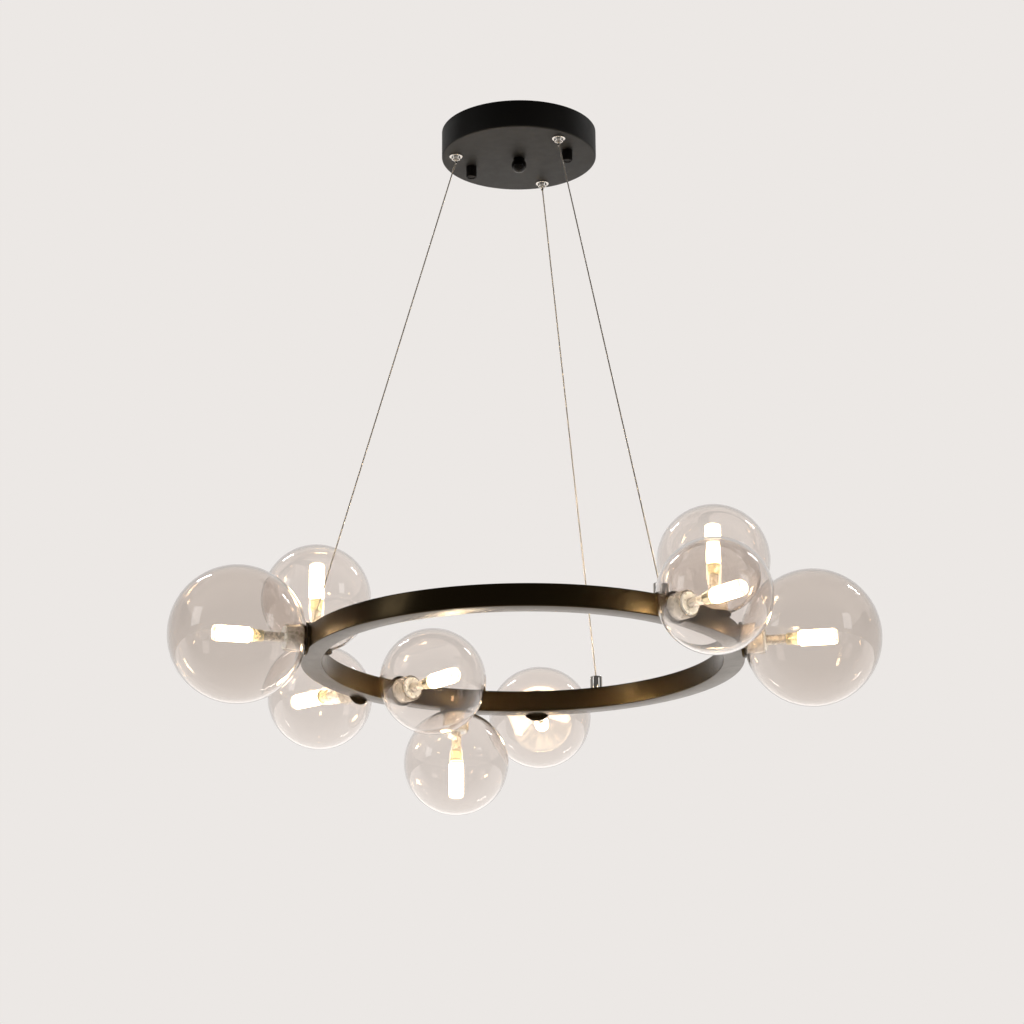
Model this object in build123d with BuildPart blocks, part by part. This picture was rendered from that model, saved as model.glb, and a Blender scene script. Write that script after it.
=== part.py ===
# Glass globe chandelier: a rolled tube ring hung on three wires under a round ceiling canopy,
# with nine lamps in clear glass globes on the outer, inner, upper and lower faces of the ring.
# Millimetres, +Z up. The origin is the centre of the canopy on the ceiling plane, and +X runs
# along the ceiling bracket.
import os
from dataclasses import dataclass
from math import atan2, cos, degrees, radians, sin, sqrt

from build123d import *

# Ring
RING_OUTER_DIAMETER = 480.0
TUBE_WIDTH = 23.0
TUBE_HEIGHT = 24.0
TUBE_WALL = 1.5
TUBE_CORNER_RADIUS = 1.2

# Ceiling canopy and bracket
CANOPY_DIAMETER = 176.0
CANOPY_HEIGHT = 32.0
CANOPY_WALL = 1.5
CANOPY_EDGE_RADIUS = 2.5
CANOPY_TO_RING = 572.0
BRACKET_LENGTH = 140.0
BRACKET_WIDTH = 26.0
BRACKET_THICKNESS = 2.0
BRACKET_SLOT_SPACING = 66.0
BRACKET_SLOT_LENGTH = 22.0
BRACKET_SLOT_WIDTH = 5.5
STUD_SPACING = 118.0
STUD_DIAMETER = 5.0
STUD_ENGAGEMENT = 8.0
LOCKNUT_ACROSS_FLATS = 8.0
LOCKNUT_HEIGHT = 3.0
CAP_NUT_DIAMETER = 12.0
CAP_NUT_HEIGHT = 13.0
CAP_NUT_EDGE = 0.8

# Finial at the middle of the canopy
FINIAL_POST_DIAMETER = 13.0
FINIAL_POST_LENGTH = 8.0
FINIAL_BALL_DIAMETER = 17.0

# Fittings that pass through a sheet wall and are held by a nut behind it
SHANK_DIAMETER = 10.0
SHANK_LENGTH = 9.0
BACK_NUT_DIAMETER = 16.0
BACK_NUT_HEIGHT = 3.0

# Wire grippers and suspension wires
WIRE_COUNT = 3
WIRE_FIRST_AZIMUTH = 90.0
WIRE_DIAMETER = 1.5
GRIPPER_CIRCLE_RADIUS = 72.5
GRIPPER_DIAMETER = 15.0
GRIPPER_HEIGHT = 5.0
GRIPPER_EDGE_RADIUS = 3.0
PLUNGER_DIAMETER = 7.0
PLUNGER_REACH = 5.0
PLUNGER_TRAVEL = 2.0
PLUNGER_BORE = 3.4
WIRE_IN_PLUNGER = 3.0
FERRULE_DIAMETER = 12.5
FERRULE_HEIGHT = 13.0
FERRULE_EDGE = 1.2
FERRULE_SHANK_DIAMETER = 5.0
FERRULE_SHANK_LENGTH = 6.0
FERRULE_NUT_DIAMETER = 10.0
FERRULE_NUT_HEIGHT = 2.5

# Electrical pieces
DRIVER_LENGTH = 90.0
DRIVER_WIDTH = 34.0
DRIVER_HEIGHT = 19.0
DRIVER_OFFSET = 36.0
DRIVER_EDGE_RADIUS = 2.0
TERMINAL_LENGTH = 36.0
TERMINAL_WIDTH = 17.0
TERMINAL_HEIGHT = 14.0
TERMINAL_OFFSET = -35.0
TERMINAL_POLES = 3
TERMINAL_SCREW_WELL = 4.0
LEAD_DIAMETER = 2.4
LEAD_BEND_RADIUS = 8.0
LEAD_HEIGHT = 9.0
DRIVER_LEAD_X = (-30.0, -36.0)
DRIVER_LEAD_Y = (-32.0, -38.0)
FEED_LEAD_X = 72.0
FEED_LEAD_Y = 40.0
FEED_LEAD_TURN_Y = -8.0
HARNESS_DIAMETER = 3.0

# Lamp sets, measured outwards from the face of the ring
LARGE_GLOBE_DIAMETER = 147.0
SMALL_GLOBE_DIAMETER = 120.0
GLASS_WALL = 2.0
MOUTH_DIAMETER = 34.0
NECK_WALL = 2.2
NECK_LENGTH = 11.0
CROWN_FLAT_DIAMETER = 2.0
FLANGE_DIAMETER = 32.0
FLANGE_THICKNESS = 2.0
GASKET_DIAMETER = 30.0
GASKET_THICKNESS = 1.0
COLLAR_DIAMETER = 24.0
COLLAR_LENGTH = 23.0
COLLAR_EDGE = 0.8
COLLAR_GROOVE_DEPTH = 0.7
COLLAR_GROOVE_WIDTH = 2.0
STEM_DIAMETER = 10.5
STEM_VISIBLE_LENGTH = 21.0
STEM_BORE = 5.0
SPIGOT_DIAMETER = 8.0
SPIGOT_LENGTH = 7.0
STEM_NUT_DIAMETER = 13.0
STEM_NUT_HEIGHT = 3.0
SOCKET_DIAMETER = 13.0
SOCKET_LENGTH = 13.0
SOCKET_RIM_DIAMETER = 15.0
SOCKET_RIM_HEIGHT = 2.0
SOCKET_BACK_RADIUS = 2.5
BULB_DIAMETER = 17.0
BULB_LENGTH = 42.0
BULB_BASE_DIAMETER = 13.0
BULB_BASE_HEIGHT = 2.5
BULB_TIP_RADIUS = 3.0
PIN_DIAMETER = 0.8
PIN_LENGTH = 6.5
PIN_SPACING = 4.0
PIN_HOLE_SPARE = 1.0

# Clearances
THREAD_CLEARANCE = 0.15
SLIDING_CLEARANCE = 0.3
SEAT_CLEARANCE = 0.05
LAY_CLEARANCE = 0.3

# Levels and radii that follow from the sizes above
CANOPY_BOTTOM = -CANOPY_HEIGHT
CANOPY_FLOOR = CANOPY_BOTTOM + CANOPY_WALL
RING_TOP = CANOPY_BOTTOM - CANOPY_TO_RING
RING_BOTTOM = RING_TOP - TUBE_HEIGHT
RING_MIDDLE = (RING_TOP + RING_BOTTOM) / 2
RING_OUTER_RADIUS = RING_OUTER_DIAMETER / 2
RING_INNER_RADIUS = RING_OUTER_RADIUS - TUBE_WIDTH
RING_MEAN_RADIUS = RING_OUTER_RADIUS - TUBE_WIDTH / 2
MOUTH_LEVEL = FLANGE_THICKNESS + GASKET_THICKNESS
COLLAR_END = FLANGE_THICKNESS + COLLAR_LENGTH
STEM_END = COLLAR_END + STEM_VISIBLE_LENGTH
SOCKET_END = STEM_END + SOCKET_LENGTH
NOSE_BOTTOM = CANOPY_BOTTOM - GRIPPER_HEIGHT - PLUNGER_REACH
WIRE_TOP = NOSE_BOTTOM + WIRE_IN_PLUNGER
WIRE_BOTTOM = RING_TOP + FERRULE_HEIGHT


@dataclass
class Lamp:
    """One lamp set: where on the ring it sits, which face carries it, and its globe's size."""

    azimuth: float
    face: str
    globe_diameter: float

    @property
    def seat(self):
        """Plane on the ring's face, with its normal pointing along the lamp."""
        across = Vector(cos(radians(self.azimuth)), sin(radians(self.azimuth)), 0)
        along = Vector(-across.Y, across.X, 0)
        origin, normal = {
            "outer": (across * RING_OUTER_RADIUS + Vector(0, 0, RING_MIDDLE), across),
            "inner": (across * RING_INNER_RADIUS + Vector(0, 0, RING_MIDDLE), -across),
            "top": (across * RING_MEAN_RADIUS + Vector(0, 0, RING_TOP), Vector(0, 0, 1)),
            "bottom": (across * RING_MEAN_RADIUS + Vector(0, 0, RING_BOTTOM), Vector(0, 0, -1)),
        }[self.face]
        return Plane(origin=origin, x_dir=along, z_dir=normal)

    @property
    def section(self):
        """Plane through the lamp's axis: X is the radius, Y the distance from the ring."""
        seat = self.seat
        return Plane(origin=seat.origin, x_dir=seat.x_dir, z_dir=seat.x_dir.cross(seat.z_dir))

    @property
    def axis(self):
        return Axis(self.seat.origin, self.seat.z_dir)


LAMPS = [
    Lamp(219.0, "outer", LARGE_GLOBE_DIAMETER),
    Lamp(194.0, "top", SMALL_GLOBE_DIAMETER),
    Lamp(162.5, "outer", SMALL_GLOBE_DIAMETER),
    Lamp(152.0, "inner", SMALL_GLOBE_DIAMETER),
    Lamp(131.5, "bottom", SMALL_GLOBE_DIAMETER),
    Lamp(108.0, "outer", SMALL_GLOBE_DIAMETER),
    Lamp(-6.0, "top", SMALL_GLOBE_DIAMETER),
    Lamp(-28.0, "outer", SMALL_GLOBE_DIAMETER),
    Lamp(10.5, "outer", LARGE_GLOBE_DIAMETER),
]
WIRE_AZIMUTHS = [WIRE_FIRST_AZIMUTH + n * 360 / WIRE_COUNT for n in range(WIRE_COUNT)]
STUD_POINTS = [(-STUD_SPACING / 2, 0), (STUD_SPACING / 2, 0)]


def around(radius, azimuth):
    """Point in plan at a radius and an azimuth in degrees."""
    return (radius * cos(radians(azimuth)), radius * sin(radians(azimuth)))


GRIPPER_POINTS = [around(GRIPPER_CIRCLE_RADIUS, azimuth) for azimuth in WIRE_AZIMUTHS]
FERRULE_POINTS = [around(RING_MEAN_RADIUS, azimuth) for azimuth in WIRE_AZIMUTHS]

os.makedirs("parts", exist_ok=True)


def keep(name, part):
    """Label a finished piece and write it out."""
    part.label = name
    export_step(part, f"parts/{name}.step")


# Ceiling bracket: a flat strip with two fixing slots and two tapped holes for the studs
with BuildPart() as ceiling_bracket:
    with BuildSketch(Plane.XY.offset(-BRACKET_THICKNESS)):
        SlotOverall(BRACKET_LENGTH, BRACKET_WIDTH)
        with GridLocations(BRACKET_SLOT_SPACING, 0, 2, 1):
            SlotOverall(BRACKET_SLOT_LENGTH, BRACKET_SLOT_WIDTH, mode=Mode.SUBTRACT)
        with Locations(*STUD_POINTS):
            Circle(STUD_DIAMETER / 2 + SEAT_CLEARANCE, mode=Mode.SUBTRACT)
    extrude(amount=BRACKET_THICKNESS)
keep("ceiling_bracket", ceiling_bracket.part)

# Threaded studs that hang from the bracket and reach through the canopy into the cap nuts
STUD_BOTTOM = CANOPY_BOTTOM - STUD_ENGAGEMENT
with BuildPart() as bracket_studs:
    with BuildSketch(Plane.XY.offset(STUD_BOTTOM)):
        with Locations(*STUD_POINTS):
            Circle(STUD_DIAMETER / 2)
    extrude(amount=-STUD_BOTTOM)
keep("bracket_studs", bracket_studs.part)

with BuildPart() as stud_locknuts:
    with BuildSketch(Plane.XY.offset(-BRACKET_THICKNESS)):
        with Locations(*STUD_POINTS):
            RegularPolygon(LOCKNUT_ACROSS_FLATS / 2, 6, major_radius=False)
            Circle(STUD_DIAMETER / 2 + SEAT_CLEARANCE, mode=Mode.SUBTRACT)
    extrude(amount=-LOCKNUT_HEIGHT)
keep("stud_locknuts", stud_locknuts.part)

# Canopy cup: a spun pan, open to the ceiling, pierced for the grippers, the finial and the studs
with BuildPart() as canopy_cup:
    with BuildSketch(Plane.XY.offset(CANOPY_BOTTOM)):
        Circle(CANOPY_DIAMETER / 2)
    extrude(amount=CANOPY_HEIGHT)
    fillet(canopy_cup.edges().group_by(Axis.Z)[0], radius=CANOPY_EDGE_RADIUS)
    offset(amount=-CANOPY_WALL, openings=canopy_cup.faces().sort_by(Axis.Z)[-1])
    with BuildSketch(Plane.XY.offset(CANOPY_BOTTOM)):
        with Locations(*GRIPPER_POINTS, (0, 0)):
            Circle(SHANK_DIAMETER / 2 + THREAD_CLEARANCE)
        with Locations(*STUD_POINTS):
            Circle(STUD_DIAMETER / 2 + THREAD_CLEARANCE)
    extrude(amount=CANOPY_WALL, mode=Mode.SUBTRACT)
keep("canopy_cup", canopy_cup.part)

with BuildPart() as canopy_nuts:
    with BuildSketch(Plane.XY.offset(CANOPY_BOTTOM)):
        with Locations(*STUD_POINTS):
            Circle(CAP_NUT_DIAMETER / 2)
    extrude(amount=-CAP_NUT_HEIGHT)
    chamfer(canopy_nuts.edges().group_by(Axis.Z)[0], length=CAP_NUT_EDGE)
    with BuildSketch(Plane.XY.offset(CANOPY_BOTTOM)):
        with Locations(*STUD_POINTS):
            Circle(STUD_DIAMETER / 2 + SEAT_CLEARANCE)
    extrude(amount=-STUD_ENGAGEMENT, mode=Mode.SUBTRACT)
keep("canopy_nuts", canopy_nuts.part)

# Finial: a turned post with a ball end, on a threaded shank through the canopy floor
BALL_CENTRE = CANOPY_BOTTOM - FINIAL_POST_LENGTH
with BuildPart() as centre_finial:
    with BuildSketch(Plane.XY.offset(CANOPY_BOTTOM)):
        Circle(FINIAL_POST_DIAMETER / 2)
    extrude(amount=-FINIAL_POST_LENGTH)
    with Locations((0, 0, BALL_CENTRE)):
        Sphere(FINIAL_BALL_DIAMETER / 2)
    with BuildSketch(Plane.XY.offset(CANOPY_BOTTOM)):
        Circle(FINIAL_BALL_DIAMETER / 2)
    extrude(amount=FINIAL_BALL_DIAMETER / 2, mode=Mode.SUBTRACT)
    with BuildSketch(Plane.XY.offset(CANOPY_BOTTOM)):
        Circle(SHANK_DIAMETER / 2)
    extrude(amount=SHANK_LENGTH)
keep("centre_finial", centre_finial.part)


def back_nuts(points, level, outer, bore, height):
    """Round lock nuts standing on a level, one at each point."""
    with BuildPart() as nuts:
        with BuildSketch(Plane.XY.offset(level)):
            with Locations(*points):
                Circle(outer / 2)
                Circle(bore / 2 + SEAT_CLEARANCE, mode=Mode.SUBTRACT)
        extrude(amount=height)
    return nuts.part


keep("finial_nut", back_nuts([(0, 0)], CANOPY_FLOOR, BACK_NUT_DIAMETER, SHANK_DIAMETER, BACK_NUT_HEIGHT))
keep("gripper_nuts",
     back_nuts(GRIPPER_POINTS, CANOPY_FLOOR, BACK_NUT_DIAMETER, SHANK_DIAMETER, BACK_NUT_HEIGHT))

# Wire grippers: a low domed flange under the canopy with a threaded shank, bored for the plunger
with BuildPart() as gripper_bodies:
    with BuildSketch(Plane.XY.offset(CANOPY_BOTTOM)):
        with Locations(*GRIPPER_POINTS):
            Circle(GRIPPER_DIAMETER / 2)
    extrude(amount=-GRIPPER_HEIGHT)
    fillet(gripper_bodies.edges().group_by(Axis.Z)[0], radius=GRIPPER_EDGE_RADIUS)
    with BuildSketch(Plane.XY.offset(CANOPY_BOTTOM)):
        with Locations(*GRIPPER_POINTS):
            Circle(SHANK_DIAMETER / 2)
    extrude(amount=SHANK_LENGTH)
    with BuildSketch(Plane.XY.offset(CANOPY_BOTTOM - GRIPPER_HEIGHT)):
        with Locations(*GRIPPER_POINTS):
            Circle(PLUNGER_DIAMETER / 2 + SLIDING_CLEARANCE)
    extrude(amount=GRIPPER_HEIGHT + SHANK_LENGTH, mode=Mode.SUBTRACT)
keep("gripper_bodies", gripper_bodies.part)

# Plungers: sprung noses that free the wire when they are pressed in
PLUNGER_TOP = CANOPY_BOTTOM + SHANK_LENGTH - PLUNGER_TRAVEL
for number, point in enumerate(GRIPPER_POINTS, start=1):
    with BuildPart() as gripper_plunger:
        with BuildSketch(Plane.XY.offset(NOSE_BOTTOM)):
            with Locations(point):
                Circle(PLUNGER_DIAMETER / 2)
        extrude(amount=PLUNGER_TOP - NOSE_BOTTOM)
        fillet(gripper_plunger.edges().group_by(Axis.Z)[0], radius=(PLUNGER_DIAMETER - PLUNGER_BORE) / 4)
        with BuildSketch(Plane.XY.offset(NOSE_BOTTOM)):
            with Locations(point):
                Circle(PLUNGER_BORE / 2)
        extrude(amount=WIRE_IN_PLUNGER + PLUNGER_TRAVEL, mode=Mode.SUBTRACT)
    keep(f"gripper_plunger_{number}", gripper_plunger.part)

# Suspension wires: straight and taut from the plungers to the ferrules on the ring
for number, (high, low) in enumerate(zip(GRIPPER_POINTS, FERRULE_POINTS), start=1):
    start = Vector(*high, WIRE_TOP)
    end = Vector(*low, WIRE_BOTTOM)
    with BuildPart() as suspension_wire:
        with BuildSketch(Plane.XY.offset(WIRE_TOP)):
            with Locations(high):
                Circle(WIRE_DIAMETER / 2)
        extrude(amount=(end - start).length, dir=(end - start).normalized())
    keep(f"suspension_wire_{number}", suspension_wire.part)

# LED driver: a moulded box on the canopy floor
with BuildPart() as led_driver:
    with BuildSketch(Plane.XY.offset(CANOPY_FLOOR)):
        with Locations((0, DRIVER_OFFSET)):
            RectangleRounded(DRIVER_LENGTH, DRIVER_WIDTH, DRIVER_EDGE_RADIUS)
    extrude(amount=DRIVER_HEIGHT)
    chamfer(led_driver.edges().group_by(Axis.Z)[-1], length=DRIVER_EDGE_RADIUS / 2)
keep("led_driver", led_driver.part)

# Terminal block: one screw well over each pole
with BuildPart() as terminal_block:
    with BuildSketch(Plane.XY.offset(CANOPY_FLOOR)):
        with Locations((0, TERMINAL_OFFSET)):
            Rectangle(TERMINAL_LENGTH, TERMINAL_WIDTH)
    extrude(amount=TERMINAL_HEIGHT)
    with BuildSketch(Plane.XY.offset(CANOPY_FLOOR + TERMINAL_HEIGHT)):
        with Locations((0, TERMINAL_OFFSET)):
            with GridLocations(TERMINAL_LENGTH / TERMINAL_POLES, TERMINAL_WIDTH / 2, TERMINAL_POLES, 2):
                Circle(TERMINAL_SCREW_WELL / 2)
    extrude(amount=-TERMINAL_HEIGHT / 2, mode=Mode.SUBTRACT)
keep("terminal_block", terminal_block.part)

# Leads in the canopy: straight runs with rounded corners, at one level above the floor
LEAD_LEVEL = CANOPY_FLOOR + LEAD_HEIGHT
DRIVER_FRONT = DRIVER_OFFSET - DRIVER_WIDTH / 2
DRIVER_BACK = DRIVER_OFFSET + DRIVER_WIDTH / 2
TERMINAL_SIDE = -TERMINAL_LENGTH / 2
SHANK_REACH = SHANK_DIAMETER / 2 + LAY_CLEARANCE
FEED_TURN = Vector(FEED_LEAD_X, FEED_LEAD_TURN_Y)
FEED_GRIPPER = Vector(*GRIPPER_POINTS[-1])
FEED_END = FEED_GRIPPER + (FEED_TURN - FEED_GRIPPER).normalized() * SHANK_REACH


def lead(*points):
    """Round lead along straight runs in plan, with its corners rounded where it turns."""
    route = [Vector(*point, LEAD_LEVEL) for point in points]
    with BuildPart() as tube:
        with BuildLine() as path:
            if len(route) > 2:
                FilletPolyline(*route, radius=LEAD_BEND_RADIUS)
            else:
                Line(*route)
        with BuildSketch(Plane(origin=path.line @ 0, z_dir=path.line % 0)):
            Circle(LEAD_DIAMETER / 2)
        sweep()
    return tube.part


driver_lead_tubes = [
    lead((x, DRIVER_FRONT), (x, y), (TERMINAL_SIDE, y)) for x, y in zip(DRIVER_LEAD_X, DRIVER_LEAD_Y)
]
with BuildPart() as driver_leads:
    add(driver_lead_tubes)
keep("driver_leads", driver_leads.part)

feed_lead_tubes = [
    lead((0, DRIVER_BACK), (0, GRIPPER_POINTS[0][1] - SHANK_REACH)),
    lead((DRIVER_LENGTH / 2, FEED_LEAD_Y), (FEED_LEAD_X, FEED_LEAD_Y), (FEED_TURN.X, FEED_TURN.Y),
         (FEED_END.X, FEED_END.Y)),
]
with BuildPart() as feed_leads:
    add(feed_lead_tubes)
keep("feed_leads", feed_leads.part)

# Ring tube: a rolled rectangular tube, pierced for the stems and the ferrules
with BuildPart() as ring_tube:
    with BuildSketch(Plane.XZ):
        with Locations((RING_MEAN_RADIUS, RING_MIDDLE)):
            RectangleRounded(TUBE_WIDTH, TUBE_HEIGHT, TUBE_CORNER_RADIUS)
            Rectangle(TUBE_WIDTH - 2 * TUBE_WALL, TUBE_HEIGHT - 2 * TUBE_WALL, mode=Mode.SUBTRACT)
    revolve(axis=Axis.Z)
    for lamp in LAMPS:
        with BuildSketch(lamp.seat):
            Circle(SPIGOT_DIAMETER / 2 + THREAD_CLEARANCE)
        extrude(amount=2 * TUBE_WALL, both=True, mode=Mode.SUBTRACT)
    with BuildSketch(Plane.XY.offset(RING_TOP)):
        with Locations(*FERRULE_POINTS):
            Circle(FERRULE_SHANK_DIAMETER / 2 + THREAD_CLEARANCE)
    extrude(amount=-2 * TUBE_WALL, mode=Mode.SUBTRACT)
keep("ring_tube", ring_tube.part)

# Ferrules that end the wires on top of the ring, and their nuts inside the tube
with BuildPart() as wire_ferrules:
    with BuildSketch(Plane.XY.offset(RING_TOP)):
        with Locations(*FERRULE_POINTS):
            Circle(FERRULE_DIAMETER / 2)
    extrude(amount=FERRULE_HEIGHT)
    chamfer(wire_ferrules.edges().group_by(Axis.Z)[-1], length=FERRULE_EDGE)
    with BuildSketch(Plane.XY.offset(RING_TOP)):
        with Locations(*FERRULE_POINTS):
            Circle(FERRULE_SHANK_DIAMETER / 2)
    extrude(amount=-FERRULE_SHANK_LENGTH)
keep("wire_ferrules", wire_ferrules.part)
keep("ferrule_nuts",
     back_nuts(FERRULE_POINTS, RING_TOP - TUBE_WALL, FERRULE_NUT_DIAMETER, FERRULE_SHANK_DIAMETER,
               -FERRULE_NUT_HEIGHT))

# Harness: the loop of cable that lies in the lower inner corner of the tube and feeds the lamps
HARNESS_RADIUS = RING_INNER_RADIUS + TUBE_WALL + LAY_CLEARANCE + HARNESS_DIAMETER / 2
HARNESS_LEVEL = RING_BOTTOM + TUBE_WALL + LAY_CLEARANCE + HARNESS_DIAMETER / 2
with BuildPart() as ring_harness:
    with BuildSketch(Plane.XZ):
        with Locations((HARNESS_RADIUS, HARNESS_LEVEL)):
            Circle(HARNESS_DIAMETER / 2)
    revolve(axis=Axis.Z)
keep("ring_harness", ring_harness.part)


def seat_flange(lamp):
    """Flat disc whose back is saddled to the curve of the ring where the face is curved."""
    with BuildPart() as flange:
        with BuildSketch(lamp.seat):
            Circle(FLANGE_DIAMETER / 2)
        extrude(amount=FLANGE_THICKNESS)
        if lamp.face == "outer":
            with BuildSketch(lamp.seat):
                Circle(FLANGE_DIAMETER / 2)
            extrude(amount=-FLANGE_THICKNESS)
            with BuildSketch(Plane.XY.offset(RING_BOTTOM - FLANGE_DIAMETER)):
                Circle(RING_OUTER_RADIUS + SEAT_CLEARANCE)
            extrude(amount=TUBE_HEIGHT + 2 * FLANGE_DIAMETER, mode=Mode.SUBTRACT)
        if lamp.face == "inner":
            with BuildSketch(Plane.XY.offset(RING_BOTTOM - FLANGE_DIAMETER)):
                Circle(RING_OUTER_RADIUS)
                Circle(RING_INNER_RADIUS - SEAT_CLEARANCE, mode=Mode.SUBTRACT)
            extrude(amount=TUBE_HEIGHT + 2 * FLANGE_DIAMETER, mode=Mode.SUBTRACT)
        with BuildSketch(lamp.seat):
            Circle(SPIGOT_DIAMETER / 2 + THREAD_CLEARANCE)
        extrude(amount=2 * FLANGE_THICKNESS, both=True, mode=Mode.SUBTRACT)
    return flange.part


flange_discs = [seat_flange(lamp) for lamp in LAMPS]
with BuildPart() as lamp_flanges:
    add(flange_discs)
keep("lamp_flanges", lamp_flanges.part)

# Collars: turned aluminium sleeves that the globes screw onto, with a groove behind the thread
with BuildPart() as lamp_collars:
    for lamp in LAMPS:
        outside = COLLAR_DIAMETER / 2
        bore = STEM_DIAMETER / 2 + SEAT_CLEARANCE
        groove = outside - COLLAR_GROOVE_DEPTH
        groove_start = MOUTH_LEVEL + NECK_LENGTH - COLLAR_GROOVE_WIDTH / 2
        with BuildSketch(lamp.section):
            with BuildLine():
                Polyline(
                    (bore, FLANGE_THICKNESS),
                    (outside, FLANGE_THICKNESS),
                    (outside, groove_start),
                    (groove, groove_start),
                    (groove, groove_start + COLLAR_GROOVE_WIDTH),
                    (outside, groove_start + COLLAR_GROOVE_WIDTH),
                    (outside, COLLAR_END - COLLAR_EDGE),
                    (outside - COLLAR_EDGE, COLLAR_END),
                    (bore, COLLAR_END),
                    close=True,
                )
            make_face()
        revolve(axis=lamp.axis)
keep("lamp_collars", lamp_collars.part)

# Stems: tubes with a threaded spigot that passes through the flange and the wall of the ring
with BuildPart() as lamp_stems:
    for lamp in LAMPS:
        with BuildSketch(lamp.section):
            with BuildLine():
                Polyline(
                    (STEM_BORE / 2, -SPIGOT_LENGTH),
                    (SPIGOT_DIAMETER / 2, -SPIGOT_LENGTH),
                    (SPIGOT_DIAMETER / 2, FLANGE_THICKNESS),
                    (STEM_DIAMETER / 2, FLANGE_THICKNESS),
                    (STEM_DIAMETER / 2, STEM_END),
                    (STEM_BORE / 2, STEM_END),
                    close=True,
                )
            make_face()
        revolve(axis=lamp.axis)
keep("lamp_stems", lamp_stems.part)

# Lock nuts of the stems, against the inside of the tube wall
NUT_START = -TUBE_WALL - THREAD_CLEARANCE
with BuildPart() as stem_nuts:
    for lamp in LAMPS:
        with BuildSketch(lamp.seat.offset(NUT_START)):
            Circle(STEM_NUT_DIAMETER / 2)
            Circle(SPIGOT_DIAMETER / 2 + SEAT_CLEARANCE, mode=Mode.SUBTRACT)
        extrude(amount=-STEM_NUT_HEIGHT)
keep("stem_nuts", stem_nuts.part)

# Sockets: rounded brass cups with a rim and two pin holes
with BuildPart() as lamp_sockets:
    for lamp in LAMPS:
        body = SOCKET_DIAMETER / 2
        with BuildSketch(lamp.section):
            with BuildLine():
                Polyline(
                    (body, STEM_END + SOCKET_BACK_RADIUS),
                    (body, SOCKET_END - SOCKET_RIM_HEIGHT),
                    (SOCKET_RIM_DIAMETER / 2, SOCKET_END - SOCKET_RIM_HEIGHT),
                    (SOCKET_RIM_DIAMETER / 2, SOCKET_END),
                    (0, SOCKET_END),
                    (0, STEM_END),
                    (body - SOCKET_BACK_RADIUS, STEM_END),
                )
                RadiusArc((body - SOCKET_BACK_RADIUS, STEM_END), (body, STEM_END + SOCKET_BACK_RADIUS),
                          SOCKET_BACK_RADIUS, short_sagitta=True)
            make_face()
        revolve(axis=lamp.axis)
        with BuildSketch(lamp.seat.offset(SOCKET_END)):
            with GridLocations(PIN_SPACING, 0, 2, 1):
                Circle(PIN_DIAMETER / 2 + SLIDING_CLEARANCE)
        extrude(amount=-PIN_LENGTH - PIN_HOLE_SPARE, mode=Mode.SUBTRACT)
keep("lamp_sockets", lamp_sockets.part)

# Bulbs: LED capsules on two pins
BULB_END = SOCKET_END + BULB_LENGTH
for number, lamp in enumerate(LAMPS, start=1):
    base = BULB_BASE_DIAMETER / 2
    body = BULB_DIAMETER / 2
    with BuildPart() as bulb:
        with BuildSketch(lamp.section):
            with BuildLine():
                Polyline(
                    (body - BULB_TIP_RADIUS, BULB_END),
                    (0, BULB_END),
                    (0, SOCKET_END),
                    (base, SOCKET_END),
                    (base, SOCKET_END + BULB_BASE_HEIGHT),
                    (body, SOCKET_END + BULB_BASE_HEIGHT),
                    (body, BULB_END - BULB_TIP_RADIUS),
                )
                CenterArc((body - BULB_TIP_RADIUS, BULB_END - BULB_TIP_RADIUS), BULB_TIP_RADIUS, 0, 90)
            make_face()
        revolve(axis=lamp.axis)
        with BuildSketch(lamp.seat.offset(SOCKET_END)):
            with GridLocations(PIN_SPACING, 0, 2, 1):
                Circle(PIN_DIAMETER / 2)
        extrude(amount=-PIN_LENGTH)
    keep(f"bulb_{number}", bulb.part)

# Gaskets: flat silicone washers between the flange and the mouth of the globe
for number, lamp in enumerate(LAMPS, start=1):
    with BuildPart() as globe_gasket:
        with BuildSketch(lamp.seat.offset(FLANGE_THICKNESS)):
            Circle(GASKET_DIAMETER / 2)
            Circle(COLLAR_DIAMETER / 2 + SLIDING_CLEARANCE, mode=Mode.SUBTRACT)
        extrude(amount=GASKET_THICKNESS)
    keep(f"globe_gasket_{number}", globe_gasket.part)

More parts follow.
